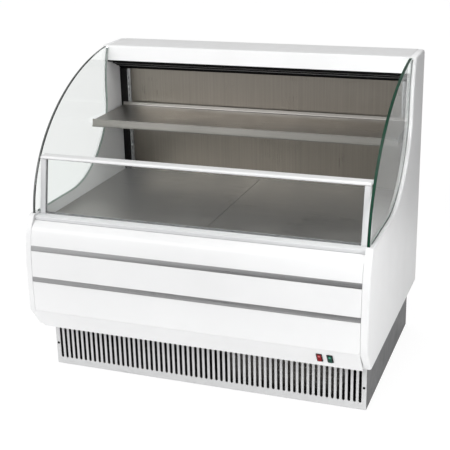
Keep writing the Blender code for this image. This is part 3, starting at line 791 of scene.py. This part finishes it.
def feet():
    pad = [(0, 0), (0.0205, 0), (0.0220, 0.0012), (0.0220, 0.0036), (0.0190, 0.0052),
           (0.0125, 0.0062), (0.0115, 0.0070)]
    threads = 6
    for node in [f"foot_{end}_{side}" for end in ("front", "rear") for side, _ in SIDES]:
        low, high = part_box(node)
        step = (high.z - 0.0135) / threads
        profile = list(pad)
        for i in range(threads):
            z = 0.0125 + step * i
            profile += [(0.0052, z), (0.0060, z + step * 0.5)]
        profile += [(0.0052, high.z - 0.0006), (0, high.z - 0.0006)]
        nut = moved(plate(arc((0, 0), 0.0095, 0, 300, 5), [], 0.0055), (0, 0, 0.0070))
        middle = ((low.x + high.x) / 2, (low.y + high.y) / 2, 0)
        piece(node + "_pad", moved(merged((turned(profile, 40), nut)), middle), ZINC, node,
              body=node, bevel=0.0003, angle=45)


# ---- sill and glass ----
def front_sill():
    """A top plate, painted paler as painted light on its upper face, and a trim folded over its
    front, painted slightly darker as painted shade.
    """
    heel, sheet = -0.335, 0.0022
    top = [(heel, LEDGE_TOP), (LEDGE_FRONT + 0.0062, LEDGE_TOP),
           (LEDGE_FRONT + 0.0050, LEDGE_TOP - sheet), (heel, LEDGE_TOP - sheet)]
    extrusion("sill_top", top, ACROSS, SILL_TOP_PAINTED_LIT, "front_ledge", bevel=0.0004, angle=40)
    edge = arc((LEDGE_FRONT + 0.0042, LEDGE_TOP - 0.0042), 0.0040, 90, 180, 8)
    nose = [(LEDGE_FRONT + 0.0060, LEDGE_TOP - 0.0004)] + edge
    nose += [(LEDGE_FRONT + 0.0002, FASCIA_TOP + 0.0004), (-0.3925, FASCIA_TOP + 0.0004),
             (-0.3925, 0.6124), (heel, 0.6124), (heel, LEDGE_TOP - 0.0023),
             (LEDGE_FRONT + 0.0048, LEDGE_TOP - 0.0023)]
    extrusion("sill_trim", nose, ACROSS, SILL_NOSE_PAINTED_SHADE, bevel=0.0004, angle=40)


def front_glazing():
    low, high = LEDGE_TOP + 0.0003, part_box("glass_rail")[0].z - 0.0003
    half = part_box("front_glass")[1].x
    extrusion("front_pane", leaning(low, high, 0.003, 0.009), (-half, half), CLEAR,
              "front_glass", bevel=0.0005)
    foot_y, foot = lean(LEDGE_TOP), LEDGE_TOP
    bead = [(foot_y + 0.0094, foot + 0.0001), (foot_y + 0.0160, foot + 0.0001),
            (foot_y + 0.0150, foot + 0.0030), (foot_y + 0.0108, foot + 0.0060),
            (foot_y + 0.0104, foot + 0.0060)]
    extrusion("pane_bead_inner", bead, (-half + 0.001, half - 0.001), RUBBER, bevel=0.0004)
    for side, sign in SIDES:
        node = "glass_post_" + side
        low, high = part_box(node)
        extrusion(node + "_profile", leaning(low.z, high.z, 0, 0.020), (low.x, high.x),
                  POST_WHITE_PAINTED_SHADE, node, bevel=0.0022, segments=4)
        inner = low.x if sign > 0 else high.x
        extrusion("pane_strip_" + side, leaning(low.z, high.z, 0.0094, 0.0122, trim=0.002),
                  sorted((inner - sign * 0.0002, inner - sign * 0.0030)), RUBBER, bevel=0.0004)
    low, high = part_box("glass_rail")
    rail = [(low.y + 0.0050, high.z), (low.y + 0.0012, high.z - 0.0022),
            (low.y, (low.z + high.z) / 2), (low.y + 0.0012, low.z + 0.0022),
            (low.y + 0.0050, low.z), (high.y - 0.002, low.z), (high.y, low.z + 0.002),
            (high.y, high.z - 0.002), (high.y - 0.002, high.z)]
    extrusion("hand_rail", rail, (low.x + 0.0016, high.x - 0.0016), WHITE, "glass_rail",
              bevel=0.0014, segments=4, angle=12)
    for side, sign in SIDES:
        extrusion("hand_rail_cap_" + side, rail,
                  sorted((sign * (high.x - 0.0014), sign * high.x)), WHITE, bevel=0.0005,
                  segments=3, angle=12)


def end_glazing():
    """Each pane, with its ground edge as a slim strip round the open front."""
    middle = (0.05, 0.80)
    sweep, rest = end_glass_outline()
    for side, sign in SIDES:
        node = "end_glass_" + side
        low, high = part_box(node)
        ground = 0.0024 if sign > 0 else 0.0012
        extrusion(node + "_pane", offset_curve(sweep, ground, middle) + rest, (low.x, high.x),
                  CLEAR, node, bevel=0.0004)
        strip = sweep + list(reversed(offset_curve(sweep, ground * 0.9, middle)))
        ends = (low.x, high.x) if sign > 0 else (low.x + 0.0012, low.x + 0.0070)
        extrusion(node + "_edge", strip, ends, GREEN_EDGE if sign > 0 else GLASS_EDGE_PAINTED_LIGHT,
                  bevel=0.0003, angle=50)
        inside, outside = (low.x - 0.0012, high.x + 0.0001)[::sign]
        gasket(side, inside, outside)


def gasket(side, inside, outside):
    """Slim channel that holds a pane along the end wall's edge."""
    path = [(y, z) for y, z in end_wall_front(32) if z < 1.138 and y > -0.36]
    rim = [(y - 0.0002, z + 0.0002) for y, z in path + [(-0.360, WALL_TOP)]]
    for part, x, width, mat in (("inner", inside, 0.0068, PALE_SEAL),
                                ("outer", outside, 0.0040, RUBBER)):
        outline = rim + list(reversed(offset_curve(rim, width, (-0.2, 1.0))))
        extrusion(f"pane_gasket_{side}_{part}", outline, (x, x + 0.0011), mat, bevel=0.0003,
                  angle=50)


# ---- canopy, curtain and lamp ----
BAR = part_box("curtain_pull_bar")
BAR_CENTRE = (BAR[0].y + 0.0123, BAR[1].z - 0.0070)
BAR_TILT = radians(-20)               # front edge up
OUTLET_TILT = radians(-23)
OUTLET_DEPTH, OUTLET_THICK = 0.062, 0.010


def canopy():
    top, back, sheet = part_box("canopy")[1].z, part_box("canopy")[1].y, 0.0030
    nose = bezier((0.2600, CANOPY_BOTTOM), (0.2645, 1.108), (0.2690, 1.128), (0.2710, 1.1375), 8)
    bend = bezier((0.2710, 1.1375), (0.2722, top - 0.0015), (0.2745, top), (0.2800, top), 8)
    outer = nose + bend[1:] + [(back - 0.0020, top), (back, top - 0.0020), (back, CANOPY_BOTTOM)]
    inner = [(back - sheet, CANOPY_BOTTOM), (back - sheet, top - sheet), (0.2790, top - sheet)]
    inner += [(y + sheet, z - 0.0008) for y, z in reversed(nose[1:])]
    extrusion("canopy_sheet", outer + inner + [(0.2630, CANOPY_BOTTOM)], ACROSS, WHITE,
              "canopy", bevel=0.0005, angle=40)
    (_, y0, z0), (_, y1, z1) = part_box("curtain_valance")
    lip = [(y0, z1), (y0, z0 + 0.0052), (y0 + 0.0010, z0 + 0.0044), (y0 + 0.0010, z0 + 0.0036),
           (y0, z0 + 0.0028), (y0, z0), (y1, z0), (y1, z1)]
    extrusion("valance_extrusion", lip, ACROSS, BAND_BLACK, "curtain_valance",
              bevel=0.0003)
    louvre()
    outlet_trim()
    lamp()


def louvre():
    """Sloping honeycomb that straightens the falling air, with two ribs across it."""
    low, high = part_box("discharge_grille")
    half_x, half_y = (high.x - low.x) / 2, OUTLET_DEPTH / 2
    columns, rows = 92, 4
    rim_x, rim_y = 0.006, 0.005
    pitch_x, pitch_y = 2 * (half_x - rim_x) / columns, 2 * (half_y - rim_y) / rows
    holes = [rectangle(x + 0.0008, y + 0.0009, x + pitch_x - 0.0008, y + pitch_y - 0.0009)
             for y in [-half_y + rim_y + pitch_y * row for row in range(rows)]
             for x in [-half_x + rim_x + pitch_x * column for column in range(columns)]]
    bm = plate(rectangle(-half_x, -half_y, half_x, half_y), holes, OUTLET_THICK - 0.0006)
    foot = Vector((0, low.y + half_y * cos(OUTLET_TILT), low.z - half_y * sin(OUTLET_TILT)))
    lift = Vector((0, -sin(OUTLET_TILT), cos(OUTLET_TILT))) * 0.0006
    piece("louvre_honeycomb", moved(bm, foot + lift, OUTLET_TILT), BAND_BLACK,
          "discharge_grille", bevel=0)
    for i, y in enumerate((-half_y + 0.0006, 0.0060)):
        rib = box((-half_x, y, -0.0022), (half_x, y + 0.0030, 0.0007))
        piece(f"louvre_rib_{i}", moved(rib, foot, OUTLET_TILT), RIB, bevel=0.0005)


def outlet_trim():
    """Black strip that closes the gap between the outlet and the lining."""
    (x0, y0, z0), (x1, y1, z1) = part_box("outlet_trim")
    face = [(y0, z1 - 0.0074), (y0 + 0.0042, (z0 + z1) / 2 - 0.0038), (y0 + 0.0080, z0 + 0.0008),
            (y0 + 0.0090, z0), (y1, z0), (y1, z1), (y0 + 0.0050, z1)]
    extrusion("outlet_trim_strip", face, (x0, x1), BAND_BLACK, "outlet_trim", bevel=0.0003)


def lamp():
    """Slim tube behind the canopy's lip, in two end holders that clip to the canopy."""
    low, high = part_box("light_lens")
    radius = (high.z - low.z) / 2
    centre = ((low.y + high.y) / 2, low.z + radius)
    tube = arc(centre, radius - 0.0006, 0, 348.75, 31)
    extrusion("lamp_tube", tube, (low.x + 0.0130, high.x - 0.0130), LAMP, "light_lens", bevel=0)
    for side, sign in SIDES:
        extrusion("lamp_holder_" + side, arc(centre, radius, -60, 240, 24),
                  sorted((sign * (high.x - 0.0140), sign * high.x)), LINING, slot="lamp_lens",
                  segments=3, angle=50)


def curtain():
    """Night blind: roller tube, wound cloth, its drop to the pull bar, and the bar."""
    low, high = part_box("curtain_roller")
    y, z, half = (low.y + high.y) / 2, (low.z + high.z) / 2, high.x
    end = [(0.0120, 0.5900), (0.0112, 0.5915), (0.0050, 0.5915), (0.0050, half - 0.0008),
           (0.0046, half), (0, half)]
    tube = turned([(r, -h) for r, h in reversed(end)] + end, 40)
    piece("roller_tube", moved(tube, (0, y, z), 0, pi / 2), ZINC, "curtain_roller",
          body="curtain_roller", bevel=0)
    roll_low, roll_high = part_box("curtain_roll")
    roll_half, outer, core, turns = roll_high.x, (roll_high.z - roll_low.z) / 2, 0.0123, 16
    radii = [core + (outer - core) * i / turns for i in range(turns + 1)]
    right = [(r, roll_half - 0.0010 * (i % 3 + 0.4)) for i, r in enumerate(radii)]
    left = [(r, -roll_half + 0.0010 * ((i + 1) % 3 + 0.4)) for i, r in enumerate(radii)]
    wound = turned(left + list(reversed(right)), 48, ring=True)
    piece("wound_cloth", moved(wound, (0, y, z), 0, pi / 2), CLOTH, "curtain_roll",
          body="curtain_roller", bevel=0)
    nose = [(-0.0112, -0.0034), (-0.0095, -0.0048), (0.0112, -0.0048), (0.0120, -0.0040),
            (0.0120, 0.0034), (0.0114, 0.0040), (0.0012, 0.0040), (0.0008, 0.0030),
            (-0.0008, 0.0030), (-0.0012, 0.0040), (-0.0088, 0.0040), (-0.0120, 0.0018),
            (-0.0120, -0.0026)]
    place = (0, *BAR_CENTRE)
    bar = run_along_x(nose, BAR[0].x + 0.006, BAR[1].x - 0.006)
    piece("pull_bar_extrusion", moved(bar, place, BAR_TILT), BAND_BLACK, "curtain_pull_bar",
          body="curtain_pull_bar", bevel=0.0004, segments=3)
    plain = [(a, b) for a, b in nose if abs(a) >= 0.002]
    for side, sign in SIDES:
        cap = run_along_x(plain, *sorted((sign * (BAR[1].x - 0.0058), sign * BAR[1].x)))
        piece("pull_bar_cap_" + side, moved(cap, place, BAR_TILT), BLACK,
              body="curtain_pull_bar", bevel=0.0010, segments=3)
    cloth_drop(y, z, outer, roll_half)


def cloth_drop(roll_y, roll_z, roll_radius, half):
    """Stretched cloth: down from the roll to the pull bar, which draws it out."""
    bar_y, bar_z = BAR_CENTRE
    leave = (roll_y - roll_radius * cos(radians(14)), roll_z - roll_radius * sin(radians(14)))
    guide = (bar_y + 0.0002, bar_z + 0.0067)
    foot = (bar_y + 0.0009, bar_z + 0.0032)
    columns, thick = 60, 0.00045
    bm = bmesh.new()
    rings = []
    for y, z in straight(leave, guide, 12) + straight(guide, foot, 26)[1:]:
        front, back = [], []
        for c in range(columns + 1):
            x = -half + 2 * half * c / columns
            ripple = 0.00025 * noise.noise(Vector((x * 7, z * 30, 0.5)))
            front.append(bm.verts.new((x, y + ripple, z)))
            back.append(bm.verts.new((x, y + ripple + thick, z)))
        rings.append(front + back[::-1])
    skin(bm, rings)
    for ring in (rings[0], rings[-1]):
        for c in range(columns):
            bm.faces.new((ring[c], ring[-1 - c], ring[-2 - c], ring[c + 1]))
    bmesh.ops.recalc_face_normals(bm, faces=bm.faces[:])
    cloth = as_object("blind_cloth_drop", bm, CLOTH)
    cloth.data.shade_smooth()
    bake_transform(cloth)


# ---- lining, shelf and deck ----
def lining():
    low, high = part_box("tub")
    skin_y, top = high.y - 0.0020, CANOPY_BOTTOM - 0.0006
    outer = [(skin_y, low.z), (-0.385, low.z), (-0.430, 0.275), (-0.430, 0.500),
             (-0.3935, 0.6118)]
    inner = [(-0.335, 0.6118), (-0.345, 0.540), (-0.345, 0.259), (-0.341, 0.255),
             (0.391, 0.255), (0.395, 0.259), (0.395, top), (skin_y, top)]
    extrusion("foamed_tub", outer + inner, (low.x, high.x), LINING, "tub", bevel=0.0010)
    back_skin(low, high, skin_y, top)


def back_skin(low, high, skin_y, top):
    """Galvanised back: three sheets, the middle one lapped over the others, and rivets."""
    lap = 0.012
    for name, x0, x1, lift in (("left", low.x + 0.0005, -0.205, 0.0001),
                               ("middle", -0.205 - lap, 0.205 + lap, 0.0005),
                               ("right", 0.205, high.x - 0.0005, 0.0001)):
        sheet = box((x0, skin_y + lift, low.z + 0.002), (x1, skin_y + lift + 0.0004, top))
        piece("back_sheet_" + name, sheet, ZINC, bevel=0.0001)
    profile = [(0, -0.0008), (0.0030, -0.0008), (0.0030, 0.0), (0.0024, 0.0006),
               (0.0012, 0.0008), (0, 0.0009)]
    levels = [low.z + 0.030 + row * (top - low.z - 0.060) / 7 for row in range(8)]
    heads = [moved(turned(profile, 16), (x, skin_y + 0.0009, z), -pi / 2)
             for x in (low.x + 0.014, -0.212, 0.212, high.x - 0.014) for z in levels]
    piece("back_rivets", merged(heads), BRIGHT_SCREW, bevel=0)


def display():
    low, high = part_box("rear_panel")
    panel = plate(rectangle(low.x + 0.0008, low.z, high.x - 0.0008, high.z), [], 0.0012)
    piece("rear_lining_sheet", moved(panel, (0, high.y - 0.0001, 0), pi / 2), REAR_STEEL_PAINTED_REFLECTION,
          "rear_panel", bevel=0.0003)
    for side, _ in SIDES:
        from_node("corner_strip_" + side, BLACK, bevel=0.0010, segments=3)
        from_node("shelf_standard_" + side, ZINC, bevel=0.0005, join=False)
        from_node("shelf_bracket_" + side, WHITE)
    shelf()
    deck()


def front_fold(low, top):
    """Sheet's front lip up to its flat top, with a rounded bend between them."""
    bend = arc((low.y + 0.003, top - 0.003), 0.003, 180, 90, 5)[1:]
    return [(low.y, low.z), (low.y, top - 0.003)] + bend


def shelf():
    low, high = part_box("shelf")
    top = high.z - 0.014
    line = front_fold(low, top) + [(high.y - 0.004, top)]
    line += arc((high.y - 0.004, top + 0.004), 0.004, 270, 360, 5)[1:] + [(high.y, high.z)]
    extrusion("shelf_sheet", sheet_metal(line, -0.0016), (low.x, high.x), STEEL, "shelf",
              bevel=0.0004, angle=40)
    (x0, y0, z0), (x1, y1, z1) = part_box("price_rail")
    rail = [(y1, z0), (y1, z1), (y1 - 0.0024, z1), (y1 - 0.0030, z1 - 0.0024),
            (y1 - 0.0016, z1 - 0.0030), (y0 + 0.0026, z0 + 0.0040), (y0 + 0.0012, z0 + 0.0050),
            (y0, z0 + 0.0044), (y0, z0)]
    extrusion("price_rail_extrusion", rail, (x0, x1), RAIL_STEEL, "price_rail", bevel=0.0004)


def deck():
    """Two deck pans, each with a lip folded down in front, and the slotted return grille."""
    for side, _ in SIDES:
        low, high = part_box("deck_pan_" + side)
        line = front_fold(low, high.z) + [(high.y, high.z)]
        extrusion("deck_sheet_" + side, sheet_metal(line, -0.0018),
                  (low.x + 0.0006, high.x - 0.0006), STEEL, "deck_pan_" + side, bevel=0.0004,
                  angle=40)
    low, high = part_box("return_grille")
    half_y = (high.y - low.y) / 2
    starts = [-0.585 + i * 0.030 for i in range(40)]
    slots = [rounded_rectangle(x, -0.024, x + 0.018, 0.024, 0.0040, 4) for x in starts]
    bm = plate(rectangle(low.x, -half_y, high.x, half_y), slots, high.z - low.z)
    piece("return_grille_sheet", moved(bm, (0, (low.y + high.y) / 2, low.z)), STEEL,
          "return_grille", bevel=0.0004)


# ---- cooling machinery ----
def machinery():
    from_node("evaporator_coil", FINS_PALE, bevel=0.0004)
    from_node("evaporator_fan_panel", ZINC, bevel=0.0003, join=False)
    for name in ("evaporator_fan_left", "evaporator_fan_right", "condenser_fan"):
        from_node(name, BLACK, body=name, bevel=0.0003)
    from_node("condenser_fan_shroud", ZINC, bevel=0.0003, join=False)
    from_node("control_box", ZINC, bevel=0.0010)
    condenser()
    compressor()


def condenser():
    """Dense fins on hairpin tubes, as the slots of the grille let them show."""
    low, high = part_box("condenser_coil")
    fins, count = [], 110
    for i in range(count):
        x = low.x + 0.006 + (high.x - low.x - 0.012) * i / (count - 1)
        fins.append(box((x - 0.00035, low.y, low.z), (x + 0.00035, high.y, high.z)))
    piece("condenser_fins", merged(fins), FINS, "condenser_coil", bevel=0)
    profile = [(0, low.x + 0.0006), (0.0046, low.x + 0.0006), (0.0046, high.x - 0.0006),
               (0, high.x - 0.0006)]
    levels = [low.z + 0.016 + row * (high.z - low.z - 0.032) / 5 for row in range(6)]
    tubes = [moved(turned(profile, 16), (0, y, z), 0, pi / 2)
             for z in levels for y in (low.y + 0.011, high.y - 0.011)]
    piece("condenser_tubes", merged(tubes), FINS)


def compressor():
    low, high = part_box("compressor")
    r, h = (high.x - low.x) / 2, high.z - low.z
    shell = [(0, 0), (0.76, 0), (0.95, 0.10), (0.985, 0.30), (0.985, 0.545), (1, 0.552),
             (1, 0.585), (0.975, 0.592), (0.97, 0.68), (0.90, 0.82), (0.70, 0.93), (0.40, 0.985),
             (0, 1)]
    bm = turned([(r * a, low.z + h * b) for a, b in shell], 64)
    piece("compressor_shell", moved(bm, ((low.x + high.x) / 2, (low.y + high.y) / 2, 0)), BLACK,
          "compressor", bevel=0, angle=50)


# ---- stage, lights and camera ----
def stage():
    bm = bmesh.new()
    bmesh.ops.create_grid(bm, x_segments=4, y_segments=4, size=30)
    floor = as_object("studio_floor", bm, floor_material())
    floor.location.z = -0.0005


def world():
    """Even white surround, dimmer behind the object's right."""
    sky = bpy.data.worlds.new("studio")
    sky.use_nodes = True
    bpy.context.scene.world = sky
    nodes = Nodes(sky.node_tree)
    dim_side = Vector((0.90, 0.42, 0.10)).normalized()
    dot = nodes.add("VectorMath", {0: nodes.add("TexCoord").outputs["Generated"], 1: dim_side},
                    operation="DOT_PRODUCT")
    level = nodes.remap(dot.outputs["Value"], -1.0, 1.0, 1.26, 0.04)
    seen = nodes.add("LightPath").outputs["Is Camera Ray"]
    back = sky.node_tree.nodes["Background"].inputs
    nodes.feed(back["Strength"], nodes.math("MAXIMUM", seen, level))
    nodes.feed(back["Color"], (1.0, 1.0, 1.0, 1.0))


def area_light(name, location, target, size, power):
    data = bpy.data.lights.new(name, "AREA")
    data.shape = "RECTANGLE"
    data.size, data.size_y = size
    data.energy = power
    item = in_scene(name, data)
    item.location = location
    look = Vector(target) - Vector(location)
    item.rotation_euler = look.to_track_quat("-Z", "Y").to_euler()


def camera():
    """Camera at the photograph's viewing angle."""
    yaw, pitch, roll = radians(20.5055), radians(-19.3514), radians(-1.3652)
    data = bpy.data.cameras.new("camera")
    data.sensor_width = 36.0
    data.lens = 81.21
    data.shift_x = -0.0017
    data.shift_y = -0.0039
    data.clip_end = 200
    view = in_scene("camera", data)
    view.matrix_world = (Matrix.Translation((1.2629, -3.4277, 1.8154))
                         @ Matrix.Rotation(yaw, 4, "Z") @ Matrix.Rotation(pi / 2 + pitch, 4, "X")
                         @ Matrix.Rotation(roll, 4, "Z"))
    bpy.context.scene.camera = view


def build():
    end_walls()
    fascia()
    chamfer()
    base()
    front_sill()
    front_glazing()
    end_glazing()
    canopy()
    curtain()
    lining()
    display()
    machinery()
    stage()
    world()
    area_light("key", (-2.2, -3.6, 2.8), (0, 0, 0.5), (2.6, 2.2), 67)
    area_light("overhead", (0.9, -0.8, 3.6), (0.2, 0, 0.4), (3.0, 2.0), 23)
    area_light("side_fill", (1.45, -0.85, 0.98), (0.64, -0.42, 0.62), (0.5, 0.6), 6.6)
    camera()
    bpy.context.scene.view_settings.view_transform = "Standard"


build()
